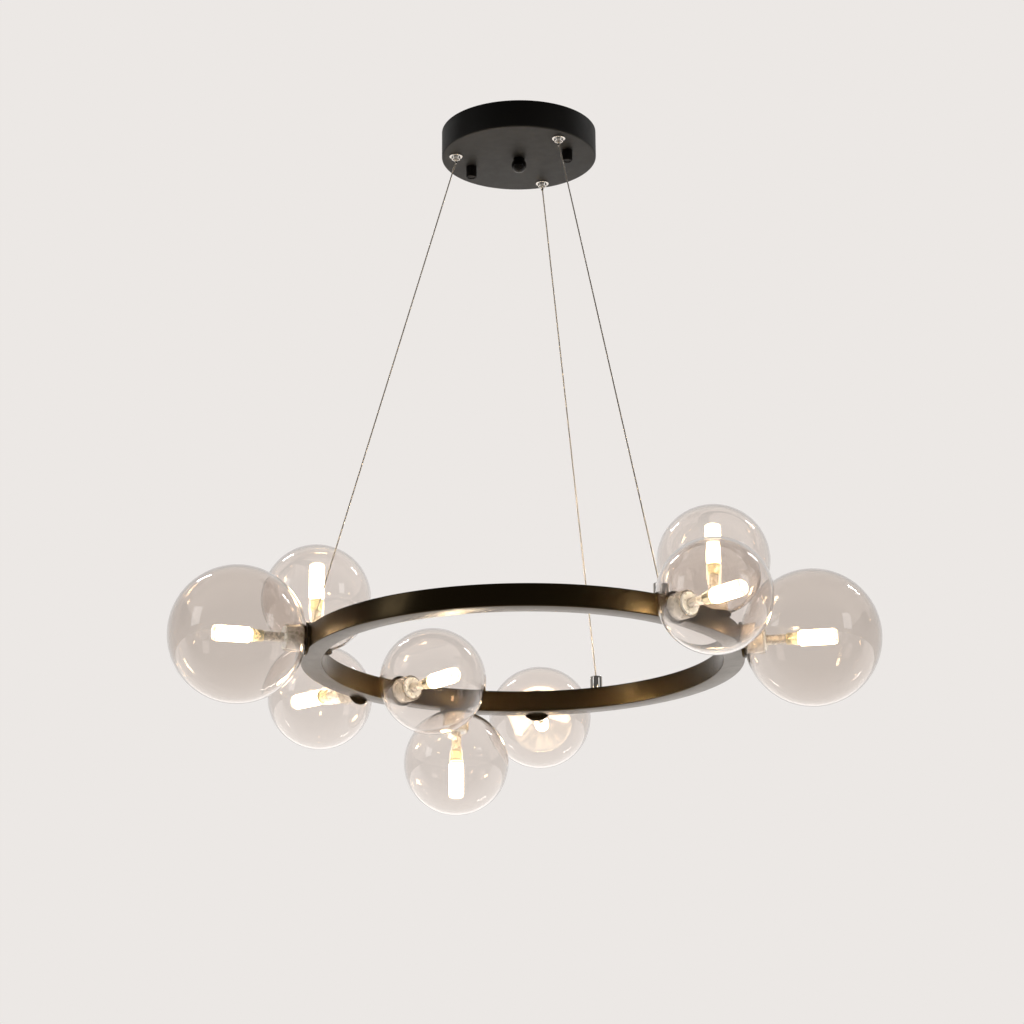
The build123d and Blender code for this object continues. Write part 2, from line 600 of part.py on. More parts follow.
# Globes: blown glass spheres whose neck turns inwards and screws onto the collar. A flat too small
# to see is left at the crown, where the blown glass parts from its holder
NECK_INNER = COLLAR_DIAMETER / 2 + SLIDING_CLEARANCE
NECK_OUTER = NECK_INNER + NECK_WALL
NECK_END = MOUTH_LEVEL + NECK_LENGTH
for number, lamp in enumerate(LAMPS, start=1):
    outside = lamp.globe_diameter / 2
    inside = outside - GLASS_WALL
    mouth = MOUTH_DIAMETER / 2
    centre = MOUTH_LEVEL + sqrt(outside**2 - mouth**2)
    neck_root = centre - sqrt(inside**2 - NECK_OUTER**2)
    crown = CROWN_FLAT_DIAMETER / 2
    outer_crown = centre + sqrt(outside**2 - crown**2)
    inner_crown = centre + sqrt(inside**2 - crown**2)
    mouth_angle = degrees(atan2(MOUTH_LEVEL - centre, mouth))
    root_angle = degrees(atan2(neck_root - centre, NECK_OUTER))
    outer_crown_angle = degrees(atan2(outer_crown - centre, crown))
    inner_crown_angle = degrees(atan2(inner_crown - centre, crown))
    with BuildPart() as globe:
        with BuildSketch(lamp.section):
            with BuildLine():
                CenterArc((0, centre), outside, mouth_angle, outer_crown_angle - mouth_angle)
                Polyline((crown, outer_crown), (0, outer_crown), (0, inner_crown), (crown, inner_crown))
                CenterArc((0, centre), inside, root_angle, inner_crown_angle - root_angle)
                Polyline(
                    (NECK_OUTER, neck_root),
                    (NECK_OUTER, NECK_END),
                    (NECK_INNER, NECK_END),
                    (NECK_INNER, MOUTH_LEVEL),
                    (mouth, MOUTH_LEVEL),
                )
            make_face()
        revolve(axis=lamp.axis)
    keep(f"globe_{number}", globe.part)
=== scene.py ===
# %% [markdown]
# # Glass globe chandelier
# A black hoop of rectangular tube hangs on three steel wires under a round ceiling canopy. Nine LED
# capsules stand on the hoop's outer, inner, upper and lower faces, each in a clear glass globe. The
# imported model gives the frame, and each visible piece is remade here with smooth turned surfaces.

from math import acos, atan2, cos, pi, radians, sin, sqrt, tan

import bpy
from mathutils import Matrix, Vector


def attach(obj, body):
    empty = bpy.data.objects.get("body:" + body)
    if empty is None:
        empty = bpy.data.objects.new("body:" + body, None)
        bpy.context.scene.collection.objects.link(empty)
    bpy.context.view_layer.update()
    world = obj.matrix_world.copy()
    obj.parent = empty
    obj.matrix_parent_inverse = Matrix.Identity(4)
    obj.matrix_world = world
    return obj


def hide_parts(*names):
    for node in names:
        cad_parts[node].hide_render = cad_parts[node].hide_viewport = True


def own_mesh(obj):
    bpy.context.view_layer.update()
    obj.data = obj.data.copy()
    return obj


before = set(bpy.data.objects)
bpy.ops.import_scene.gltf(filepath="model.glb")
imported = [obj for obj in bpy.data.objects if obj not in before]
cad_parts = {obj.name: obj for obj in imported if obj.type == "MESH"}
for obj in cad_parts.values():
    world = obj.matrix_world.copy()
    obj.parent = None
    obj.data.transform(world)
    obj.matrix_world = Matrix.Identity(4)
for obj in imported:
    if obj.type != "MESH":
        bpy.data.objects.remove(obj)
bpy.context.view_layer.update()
MM = 0.001

# %% [markdown]
# ## Measures
# The visual pieces take the measures of the solids, in millimetres, so that they sit on each other
# without any fitting. Only the flanges, the ferrules and the glass necks are a little larger, as the
# photograph shows them. Heights are measured down from the ceiling, and lamp measures outwards from
# the face of the hoop.

# %% Measures of the object
CANOPY_RADIUS, CANOPY_BOTTOM, CANOPY_WALL = 88.0, -32.0, 1.5
RING_TOP, RING_BOTTOM = -604.0, -628.0
RING_OUTER, RING_INNER = 240.0, 217.0
RING_MIDDLE = (RING_TOP + RING_BOTTOM) / 2
RING_MEAN = (RING_OUTER + RING_INNER) / 2
WIRE_AZIMUTHS = (90.0, 210.0, 330.0)
GRIPPER_CIRCLE = 72.5
SMALL_GLOBE, LARGE_GLOBE = 120.0, 147.0
LAMPS = (
    (219.0, "outer", LARGE_GLOBE),
    (194.0, "top", SMALL_GLOBE),
    (162.5, "outer", SMALL_GLOBE),
    (152.0, "inner", SMALL_GLOBE),
    (131.5, "bottom", SMALL_GLOBE),
    (108.0, "outer", SMALL_GLOBE),
    (-6.0, "top", SMALL_GLOBE),
    (-28.0, "outer", SMALL_GLOBE),
    (10.5, "outer", LARGE_GLOBE),
)


def around(radius, azimuth, height=0.0):
    """Point in millimetres at a radius and an azimuth in degrees, as a vector in metres."""
    turn = radians(azimuth)
    return Vector((radius * cos(turn), radius * sin(turn), height)) * MM


def lamp_frame(azimuth, face):
    """Matrix that stands a lamp piece, made along +Z, on its face of the hoop."""
    out = around(1 / MM, azimuth)
    along = Vector((-out.y, out.x, 0))
    seat, normal = {
        "outer": (around(RING_OUTER, azimuth, RING_MIDDLE), out),
        "inner": (around(RING_INNER, azimuth, RING_MIDDLE), -out),
        "top": (around(RING_MEAN, azimuth, RING_TOP), Vector((0, 0, 1))),
        "bottom": (around(RING_MEAN, azimuth, RING_BOTTOM), Vector((0, 0, -1))),
    }[face]
    stance = Matrix((along, normal.cross(along), normal)).transposed().to_4x4()
    return Matrix.Translation(seat) @ stance


LAMP_FRAMES = [lamp_frame(azimuth, face) for azimuth, face, globe in LAMPS]
print("lamps:", len(LAMP_FRAMES))

# %% [markdown]
# ## Camera
# The photograph was taken from below with a long lens. Place, tilt and lens come from fitting the
# ellipses of the canopy and the hoop and the circles of the globes, so the camera is set by numbers.

# %% Camera
CAMERA_PLACE = (1.1258, -2.8145, -1.4000)
CAMERA_YAW, CAMERA_PITCH, CAMERA_ROLL = 22.0, 17.32, -0.366
LENS_MM, SENSOR_MM, VIEW_DEPTH = 101.5, 36.0, 100.0
aim = (
    Matrix.Rotation(radians(CAMERA_YAW), 4, "Z")
    @ Matrix.Rotation(radians(90 + CAMERA_PITCH), 4, "X")
    @ Matrix.Rotation(radians(CAMERA_ROLL), 4, "Z")
)
bpy.ops.object.camera_add(location=CAMERA_PLACE, rotation=aim.to_euler())
camera = bpy.context.object
camera.name = "photo_camera"
camera.data.lens = LENS_MM
camera.data.sensor_width = SENSOR_MM
camera.data.clip_end = VIEW_DEPTH
bpy.context.scene.camera = camera
print("camera at", [round(v, 3) for v in camera.location])

# %% [markdown]
# ## Tools for turned pieces
# Nearly every piece here is turned on a lathe, spun or blown, so it is a profile swept about an axis.
# By hand that is one vertex extruded along the profile and spun round in edit mode. `eased` rounds
# the corners of a profile, because a real edge always catches a line of light. `turned` also stores
# radius plus height on the mesh, which the finishes use for lines that run round the axis.

# %% Profile and lathe helpers
WELD_MM = 0.002


def eased(corners, steps=4):
    """Profile points from corners (radius, height) or (radius, height, rounding), in millimetres."""
    points = []
    for index, corner in enumerate(corners):
        here = Vector(corner[:2])
        if len(corner) == 2:
            points.append(here)
            continue
        before = (Vector(corners[index - 1][:2]) - here).normalized()
        after = (Vector(corners[(index + 1) % len(corners)][:2]) - here).normalized()
        half = acos(max(-1.0, min(1.0, before.dot(after)))) / 2
        centre = here + (before + after).normalized() * corner[2] / sin(half)
        first = here + before * corner[2] / tan(half) - centre
        last = here + after * corner[2] / tan(half) - centre
        sweep = atan2(first.x * last.y - first.y * last.x, first.dot(last))
        for step in range(steps + 1):
            points.append(centre + Matrix.Rotation(sweep * step / steps, 2) @ first)
    return points


def arc(centre_height, radius, start, end, steps):
    """Profile points on a circle about the axis, from one polar angle to another in degrees."""
    turns = [radians(start + (end - start) * step / steps) for step in range(steps + 1)]
    return [Vector((radius * cos(t), centre_height + radius * sin(t))) for t in turns]


def settle(obj, smooth_angle=35):
    """Put an object's place into its mesh and shade its curved faces smooth."""
    bpy.ops.object.select_all(action="DESELECT")
    obj.select_set(True)
    bpy.context.view_layer.objects.active = obj
    bpy.ops.object.transform_apply(location=True, rotation=True, scale=True)
    bpy.ops.object.shade_smooth_by_angle(angle=radians(smooth_angle))


def turned(name, profile, steps=64, closed=False):
    """Lathe a profile about Z. A closed one makes a ring with a hole, an open one ends on the axis."""
    bpy.ops.object.select_all(action="DESELECT")
    bpy.ops.mesh.primitive_plane_add(size=MM)
    obj = bpy.context.object
    obj.name = obj.data.name = name
    bpy.ops.object.mode_set(mode="EDIT")
    bpy.ops.mesh.select_all(action="SELECT")
    bpy.ops.mesh.merge(type="CENTER")
    route = list(profile) + ([profile[0]] if closed else [])
    bpy.ops.transform.translate(value=(route[0][0] * MM, 0, route[0][1] * MM))
    for here, there in zip(route, route[1:]):
        move = ((there[0] - here[0]) * MM, 0, (there[1] - here[1]) * MM)
        bpy.ops.mesh.extrude_vertices_move(TRANSFORM_OT_translate={"value": move})
    bpy.ops.mesh.select_all(action="SELECT")
    bpy.ops.mesh.spin(steps=steps, angle=2 * pi, center=(0, 0, 0), axis=(0, 0, 1))
    bpy.ops.mesh.select_all(action="SELECT")
    bpy.ops.mesh.remove_doubles(threshold=WELD_MM * MM)
    bpy.ops.mesh.normals_make_consistent(inside=False)
    bpy.ops.object.mode_set(mode="OBJECT")
    settle(obj)
    marks = obj.data.attributes.new("turning", "FLOAT", "POINT")
    for vertex, mark in zip(obj.data.vertices, marks.data):
        mark.value = (vertex.co.xy.length + vertex.co.z) / MM
    return obj


def copies(master, name, places):
    """One piece joined from copies of a master, each stood at its place. The master goes."""
    made = []
    for place in places:
        bpy.ops.object.select_all(action="DESELECT")
        master.select_set(True)
        bpy.context.view_layer.objects.active = master
        bpy.ops.object.duplicate(linked=False)
        bpy.context.object.matrix_world = place
        made.append(bpy.context.object)
    bpy.data.objects.remove(master)
    bpy.ops.object.select_all(action="DESELECT")
    for obj in made:
        obj.select_set(True)
    bpy.context.view_layer.objects.active = made[0]
    bpy.ops.object.transform_apply(location=True, rotation=True, scale=True)
    bpy.ops.object.join()
    joined = bpy.context.object
    joined.name = joined.data.name = name
    return joined


def stood(master, name, place):
    """A single copy of a master at one place. The master stays for the next copy."""
    bpy.ops.object.select_all(action="DESELECT")
    master.select_set(True)
    bpy.context.view_layer.objects.active = master
    bpy.ops.object.duplicate(linked=False)
    obj = bpy.context.object
    obj.name = obj.data.name = name
    obj.matrix_world = place
    bpy.ops.object.transform_apply(location=True, rotation=True, scale=True)
    return obj


print("lathe tools ready")

# %% [markdown]
# ## Tools for finishes
# Colours are written as sRGB hex, as a colour picker shows them, and turned to the linear values
# that Blender computes with. One function adds a node, sets its sockets and links them. Sockets whose
# names repeat on a node are given by number.


# %% Colour and node helpers
def linear(hex_colour):
    """Linear RGBA from an sRGB hex string."""
    parts = [int(hex_colour[i:i + 2], 16) / 255 for i in (1, 3, 5)]
    return [p / 12.92 if p <= 0.04045 else ((p + 0.055) / 1.055) ** 2.4 for p in parts] + [1.0]


def add_node(tree, kind, settings=None, **sockets):
    """Add a node with settings, and set or link its sockets: _ is a space, _ and digits a number."""
    node = tree.nodes.new(kind)
    for key, value in (settings or {}).items():
        setattr(node, key, value)
    for key, value in sockets.items():
        which = int(key[1:]) if key[1:].isdigit() else key.replace("_", " ")
        socket = node.inputs[which]
        if isinstance(value, bpy.types.NodeSocket):
            tree.links.new(value, socket)
        else:
            socket.default_value = value
    return node


def new_material(name):
    """Empty material and its node tree."""
    material = bpy.data.materials.new(name)
    material.use_nodes = True
    material.node_tree.nodes.clear()
    return material, material.node_tree


def dress(obj, material, body, slot, *nodes):
    """Give a piece its finish, its body and the solids it stands for. The slot is not used."""
    obj.data.materials.clear()
    obj.data.materials.append(material)
    if nodes:
        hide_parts(*nodes)
    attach(obj, body)
    return obj


print("finish tools ready")

# %% [markdown]
# ## Finishes
# A flat colour would look like a toy, so every coat and metal here has faint clouds, where polish or
# handling left it a little duller and darker, and a fine bump. Both are noise on Object coordinates,
# with their sizes in millimetres. On turned metal the bump is fine lines round the axis instead. They
# follow the number that `turned` stores on each mesh, so they run round every lamp's own axis. On the
# rope both are slanting strands. Real lathe lines and strands are finer than a pixel, so they are
# drawn coarser here.

# %% Recipe of a finish
CLOUD_LOW, CLOUD_HIGH = 0.35, 0.65
BUMP_MM = 0.05
DIAGONAL_WAVE = 2 * pi / 10  # spacing of the wave's diagonal bands along an axis


def shaded(colour, factor):
    """Linear RGBA of a hex colour, made lighter or darker by a factor."""
    return [channel * factor for channel in linear(colour)[:3]] + [1.0]


def markings(tree, place, pattern, size_mm):
    """Node with one pattern: a grain, the lines of a lathe or the slanting strands of a rope."""
    if pattern == "lathe":
        line = add_node(tree, "ShaderNodeAttribute", {"attribute_name": "turning"})
        return add_node(
            tree,
            "ShaderNodeTexNoise",
            {"noise_dimensions": "1D"},
            W=line.outputs["Fac"],
            Scale=1 / size_mm,
        )
    if pattern == "strands":
        return add_node(
            tree,
            "ShaderNodeTexWave",
            {"bands_direction": "DIAGONAL"},
            Vector=place.outputs["Object"],
            Scale=DIAGONAL_WAVE / (size_mm * MM),
        )
    return add_node(
        tree, "ShaderNodeTexNoise", Vector=place.outputs["Object"], Scale=1 / (size_mm * MM), Detail=1.0
    )


def finish(name, colour, metallic, roughness, specular, clouds, bump):
    """Coat or metal.

    Clouds are a pattern, its size in mm, and how far roughness and shade spread either way.
    The bump is a pattern, its size in mm and its strength.
    """
    material, tree = new_material(name)
    place = add_node(tree, "ShaderNodeTexCoord")
    *cloud_pattern, duller, darker = clouds
    *bump_pattern, strength = bump
    cloud = markings(tree, place, *cloud_pattern)
    height = markings(tree, place, *bump_pattern)
    share = add_node(tree, "ShaderNodeMapRange", _0=cloud.outputs["Fac"], _1=CLOUD_LOW, _2=CLOUD_HIGH)
    gloss = add_node(
        tree, "ShaderNodeMapRange", _0=share.outputs[0], _3=roughness - duller, _4=roughness + duller
    )
    shade = add_node(
        tree,
        "ShaderNodeMix",
        {"data_type": "RGBA"},
        _0=share.outputs[0],
        _6=shaded(colour, 1 + darker),
        _7=shaded(colour, 1 - darker),
    )
    normal = add_node(
        tree, "ShaderNodeBump", Height=height.outputs["Fac"], Strength=strength, Distance=BUMP_MM * MM
    )
    shader = add_node(
        tree,
        "ShaderNodeBsdfPrincipled",
        Base_Color=shade.outputs[2],
        Metallic=metallic,
        Roughness=gloss.outputs[0],
        Specular_IOR_Level=specular,
        Normal=normal.outputs["Normal"],
    )
    add_node(tree, "ShaderNodeOutputMaterial", Surface=shader.outputs[0])
    return material


print("clouds between", CLOUD_LOW, "and", CLOUD_HIGH, "of the pattern")

# %% Coats
# Stoved enamel with metal flake: black face on, bronze where it mirrors a lamp, slight orange peel.
SATIN_ENAMEL = finish(
    "satin_black_enamel", "#3C3221", metallic=0.9, roughness=0.22, specular=0.3,
    clouds=("grain", 14.0, 0.02, 0.05), bump=("grain", 0.9, 0.2),
)
# Baked polyester powder: dull and pebbled, so that light spreads over it without a mirror image.
POWDER_COAT = finish(
    "matt_black_powder_coat", "#0C0B09", metallic=0.0, roughness=0.54, specular=0.22,
    clouds=("grain", 9.0, 0.02, 0.02), bump=("grain", 0.9, 0.6),
)
# Sprayed lacquer: deep black with small sharp highlights.
GLOSS_BLACK = finish(
    "gloss_black_enamel", "#080706", metallic=0.0, roughness=0.14, specular=0.14,
    clouds=("grain", 6.0, 0.03, 0.05), bump=("grain", 1.2, 0.05),
)
# Oiled black oxide: a dead black with hardly any shine, a little patchy.
DEAD_BLACK = finish(
    "black_oxide_steel", "#0C0A09", metallic=0.0, roughness=0.5, specular=0.08,
    clouds=("grain", 3.0, 0.06, 0.1), bump=("grain", 0.4, 0.15),
)
print("coats made")

# %% Metals
# Nickel plate: a mirror, warmer and greyer than chrome.
NICKEL = finish(
    "bright_nickel_plate", "#A8A49E", metallic=1.0, roughness=0.06, specular=0.5,
    clouds=("grain", 4.0, 0.02, 0.03), bump=("lathe", 0.5, 0.05),
)
# Chrome plate over turned brass: a clean mirror with faint lines.
CHROME = finish(
    "polished_chrome", "#DDD9D3", metallic=1.0, roughness=0.06, specular=0.5,
    clouds=("grain", 4.0, 0.02, 0.03), bump=("lathe", 0.5, 0.05),
)
# Drawn tube, rubbed round with fine abrasive: a soft pale sheen.
SATIN_TUBE = finish(
    "satin_steel_tube", "#E0DDD8", metallic=0.6, roughness=0.28, specular=0.5,
    clouds=("grain", 5.0, 0.04, 0.04), bump=("lathe", 0.5, 0.2),
)
# Turned and clear anodised: pale and satin, with rings from the tool.
ALUMINIUM = finish(
    "satin_turned_aluminium", "#E2E8EF", metallic=0.5, roughness=0.3, specular=0.5,
    clouds=("grain", 6.0, 0.04, 0.04), bump=("lathe", 0.7, 0.25),
)
# Light brass under lacquer: creamy and soft, with faint rings.
BRASS = finish(
    "pale_polished_brass", "#F1E9CC", metallic=0.9, roughness=0.22, specular=0.5,
    clouds=("grain", 4.0, 0.04, 0.05), bump=("lathe", 0.6, 0.15),
)
# Galvanised wires laid up into a rope: grey, with slanting strands.
STEEL_ROPE = finish(
    "drawn_steel_rope", "#B8B1A7", metallic=0.5, roughness=0.45, specular=0.5,
    clouds=("strands", 2.4, 0.05, 0.15), bump=("strands", 2.4, 0.02),
)
# Bright zinc plate: bluish grey, cloudy and a little rough.
ZINC = finish(
    "zinc_plated_steel", "#A9ADB0", metallic=1.0, roughness=0.4, specular=0.5,
    clouds=("grain", 5.0, 0.08, 0.08), bump=("grain", 0.6, 0.2),
)
print("metals made")

# %% Rubber and plastics
# Moulded silicone rubber: matt and dark, with a bloom on it.
SILICONE = finish(
    "black_silicone", "#1C1B1A", metallic=0.0, roughness=0.6, specular=0.5,
    clouds=("grain", 4.0, 0.06, 0.1), bump=("grain", 0.5, 0.15),
)
# Spark-eroded moulding: an even, fine texture.
DRIVER_CASE = finish(
    "white_polycarbonate", "#E4E3DE", metallic=0.0, roughness=0.45, specular=0.5,
    clouds=("grain", 20.0, 0.04, 0.02), bump=("grain", 0.6, 0.4),
)
# Glass-filled moulding: ivory, slightly waxy and clouded.
TERMINAL = finish(
    "ivory_polyamide", "#D9D5C8", metallic=0.0, roughness=0.4, specular=0.5,
    clouds=("grain", 3.0, 0.05, 0.04), bump=("grain", 0.5, 0.2),
)
# Extruded cable sheath: black, half matt.
SHEATH = finish(
    "black_pvc_sheath", "#1B1B1B", metallic=0.0, roughness=0.4, specular=0.5,
    clouds=("grain", 5.0, 0.05, 0.06), bump=("grain", 0.5, 0.15),
)
print("rubber and plastics made")

# %% [markdown]
# Clear soda-lime glass has an IOR of about 1.5. The globes have a faint warm grey tint, and their
# necks are ground where they run over the thread, so they catch the lamp light. Lamps and capsules
# have to light what stands behind the glass, so rays that look for a lamp pass straight through, and
# every other ray is refracted and reflected by the Principled shader.

# %% Glass
GLASS_IOR, SILICONE_IOR = 1.5, 1.41


def glass(name, tint, shade, roughness=0.0, clearness=1.0):
    """Glass with a faint tint, and the shade that it leaves in lamp light passing through."""
    material, tree = new_material(name)
    clear = add_node(
        tree,
        "ShaderNodeBsdfPrincipled",
        Base_Color=linear(tint),
        Roughness=roughness,
        IOR=GLASS_IOR,
        Transmission_Weight=clearness,
    )
    through = add_node(tree, "ShaderNodeBsdfTransparent", Color=linear(shade))
    path = add_node(tree, "ShaderNodeLightPath")
    mixed = add_node(
        tree,
        "ShaderNodeMixShader",
        _0=path.outputs["Is Shadow Ray"],
        _1=clear.outputs[0],
        _2=through.outputs[0],
    )
    add_node(tree, "ShaderNodeOutputMaterial", Surface=mixed.outputs[0])
    return material


GLASS = {
    SMALL_GLOBE: glass("clear_blown_glass", "#F8F4F1", "#F4F0EC"),
    LARGE_GLOBE: glass("thicker_blown_glass", "#EFEAE6", "#EFEAE6"),
}
GROUND_GLASS = glass("ground_glass_neck", "#FFFCF8", "#F2EFEA", roughness=0.06, clearness=0.85)
print("glass made:", len(GLASS), "tints and the ground neck")

# %% [markdown]
# A lit LED capsule is a column of phosphor-coated chips cast into clear silicone. The column is far
# brighter than white, and the soft silicone blurs its edge and glows a warm cream itself. The end of
# the column has only a few chips, so it is dimmer and patchy.

# %% Lit capsule
SLEEVE_GLOW, COLUMN_GLOW, END_GLOW = 0.4, 780.0, 4.0
CHIP_MM, GAP_SHARE, CHIP_SHARE = 2.2, 0.42, 0.64
SLEEVE, tree = new_material("cast_clear_silicone")
soft = add_node(
    tree,
    "ShaderNodeBsdfPrincipled",
    Base_Color=linear("#FFF6E6"),
    Roughness=0.12,
    IOR=SILICONE_IOR,
    Transmission_Weight=1.0,
    Emission_Color=linear("#FFE3B4"),
    Emission_Strength=SLEEVE_GLOW,
)
through = add_node(tree, "ShaderNodeBsdfTransparent", Color=linear("#FFFDF8"))
path = add_node(tree, "ShaderNodeLightPath")
mixed = add_node(
    tree,
    "ShaderNodeMixShader",
    _0=path.outputs["Is Shadow Ray"],
    _1=soft.outputs[0],
    _2=through.outputs[0],
)
add_node(tree, "ShaderNodeOutputMaterial", Surface=mixed.outputs[0])


def phosphor(name, strength):
    """Lit phosphor: bright chips of one strength, with dim warm gaps between them."""
    material, tree = new_material(name)
    place = add_node(tree, "ShaderNodeTexCoord")
    chips = add_node(
        tree, "ShaderNodeTexNoise", Vector=place.outputs["Object"], Scale=1 / (CHIP_MM * MM), Detail=1.0
    )
    share = add_node(tree, "ShaderNodeMapRange", _0=chips.outputs["Fac"], _1=GAP_SHARE, _2=CHIP_SHARE)
    colour = add_node(
        tree,
        "ShaderNodeMix",
        {"data_type": "RGBA"},
        _0=share.outputs[0],
        _6=linear("#2A2418"),
        _7=linear("#FFF0D6"),
    )
    shader = add_node(
        tree,
        "ShaderNodeBsdfPrincipled",
        Base_Color=linear("#FFF3DC"),
        Roughness=0.5,
        Emission_Color=colour.outputs[2],
        Emission_Strength=strength,
    )
    add_node(tree, "ShaderNodeOutputMaterial", Surface=shader.outputs[0])
    return material


COLUMN = phosphor("lit_phosphor_column", COLUMN_GLOW)
COLUMN_END = phosphor("lit_phosphor_end", END_GLOW)
print("lit capsule made")

# %% [markdown]
# ## Suspension wires
# Each wire is steel rope, straight because it carries the hoop. A small disc extruded from the gripper
# down to the ferrule gives it, as one mesh of its own.

# %% Suspension wires
WIRE_DIAMETER, WIRE_SIDES, WIRE_SMOOTHING = 1.5, 12, 60
WIRE_TOP, WIRE_BOTTOM = -39.0, -591.0
for number, azimuth in enumerate(WIRE_AZIMUTHS, start=1):
    high = around(GRIPPER_CIRCLE, azimuth, WIRE_TOP)
    low = around(RING_MEAN, azimuth, WIRE_BOTTOM)
    bpy.ops.object.select_all(action="DESELECT")
    bpy.ops.mesh.primitive_circle_add(
        vertices=WIRE_SIDES, radius=WIRE_DIAMETER / 2 * MM, fill_type="NGON", location=high
    )
    wire = bpy.context.object
    wire.name = wire.data.name = f"wire_{number}"
    bpy.ops.object.mode_set(mode="EDIT")
    bpy.ops.mesh.select_all(action="SELECT")
    bpy.ops.mesh.extrude_region_move(TRANSFORM_OT_translate={"value": low - high})
    bpy.ops.mesh.select_all(action="SELECT")
    bpy.ops.mesh.normals_make_consistent(inside=False)
    bpy.ops.object.mode_set(mode="OBJECT")
    settle(wire, WIRE_SMOOTHING)
    dress(wire, STEEL_ROPE, "canopy", "steel_wire", f"suspension_wire_{number}")
    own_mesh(wire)
print("wires:", round((low - high).length, 4), "m each")

# %% [markdown]
# ## Canopy
# The canopy is a spun steel pan, powder coated black. A lathe profile with a rounded lower edge
# gives it. Two black cap nuts, a ball finial and three wire grippers hang under it.

# %% Canopy pan
pan = turned(
    "canopy_pan",
    eased(
        [
            (0, CANOPY_BOTTOM + CANOPY_WALL),
            (CANOPY_RADIUS - CANOPY_WALL, CANOPY_BOTTOM + CANOPY_WALL, 1.0),
            (CANOPY_RADIUS - CANOPY_WALL, 0.0),
            (CANOPY_RADIUS, 0.0),
            (CANOPY_RADIUS, CANOPY_BOTTOM, 2.0),
            (0, CANOPY_BOTTOM),
        ],
        steps=5,
    ),
    steps=160,
)
dress(pan, POWDER_COAT, "canopy", "matt_black", "canopy_cup")
print("canopy pan:", len(pan.data.polygons), "faces")

# %% Cap nuts and finial
NUT_HALF_SPACING, NUT_RADIUS, NUT_BOTTOM, NUT_DIMPLE = 59.0, 6.0, -45.0, -44.2
nut = turned(
    "cap_nut",
    eased(
        [
            (0, CANOPY_BOTTOM),
            (NUT_RADIUS, CANOPY_BOTTOM),
            (NUT_RADIUS, NUT_BOTTOM, 0.9),
            (4.2, NUT_BOTTOM, 0.3),
            (3.6, NUT_DIMPLE),
            (0, NUT_DIMPLE),
        ],
        steps=3,
    ),
    steps=48,
)
nut_places = [Matrix.Translation((side * NUT_HALF_SPACING * MM, 0, 0)) for side in (-1, 1)]
nuts = copies(nut, "cap_nuts", nut_places)
dress(nuts, DEAD_BLACK, "canopy", "matt_black", "canopy_nuts")
BALL_CENTRE, BALL_RADIUS, POST_RADIUS = -40.0, 8.5, 6.5
post_angle = 180 / pi * atan2(sqrt(BALL_RADIUS**2 - POST_RADIUS**2), POST_RADIUS)
post = [Vector((0, CANOPY_BOTTOM)), Vector((POST_RADIUS, CANOPY_BOTTOM))]
finial = turned("finial", post + arc(BALL_CENTRE, BALL_RADIUS, post_angle, -90, steps=24))
dress(finial, GLOSS_BLACK, "canopy", "matt_black", "centre_finial")
print("cap nuts and finial:", len(nuts.data.polygons) + len(finial.data.polygons), "faces")

# %% Wire grippers and plungers
RIM_RADIUS, RIM_BOTTOM, CONE_BOTTOM, BORE_RADIUS, BORE_END = 7.5, -33.6, -37.0, 3.8, -32.5
gripper = turned(
    "gripper",
    eased(
        [
            (0, CANOPY_BOTTOM),
            (RIM_RADIUS, CANOPY_BOTTOM),
            (RIM_RADIUS, RIM_BOTTOM, 0.5),
            (6.2, RIM_BOTTOM, 0.3),
            (5.8, -33.0, 0.2),
            (5.4, RIM_BOTTOM, 0.3),
            (4.7, CONE_BOTTOM, 0.6),
            (BORE_RADIUS, CONE_BOTTOM, 0.2),
            (BORE_RADIUS, BORE_END),
            (0, BORE_END),
        ]
    ),
    steps=48,
)
gripper_places = [Matrix.Translation(around(GRIPPER_CIRCLE, azimuth)) for azimuth in WIRE_AZIMUTHS]
grippers = copies(gripper, "grippers", gripper_places)
dress(grippers, CHROME, "canopy", "chrome", "gripper_bodies")
PLUNGER_RADIUS, PLUNGER_TOP, NOSE_BOTTOM = 3.5, -35.0, -42.0
plunger = turned(
    "plunger",
    eased(
        [
            (0, PLUNGER_TOP),
            (PLUNGER_RADIUS, PLUNGER_TOP),
            (PLUNGER_RADIUS, -37.8, 0.5),
            (1.4, -39.4, 0.4),
            (1.2, NOSE_BOTTOM),
            (0, NOSE_BOTTOM),
        ]
    ),
    steps=40,
)
for number, place in enumerate(gripper_places, start=1):
    nose = stood(plunger, f"plunger_{number}", place)
    dress(nose, NICKEL, f"gripper_plunger_{number}", "chrome", f"gripper_plunger_{number}")
bpy.data.objects.remove(plunger)
print("canopy fittings made")

# %% [markdown]
# ## Hoop and ferrules
# The hoop is a rectangular tube rolled into a circle and enamelled. Its corners are nearly sharp and
# catch thin lines of light. A chrome ferrule ends each wire on its upper face.

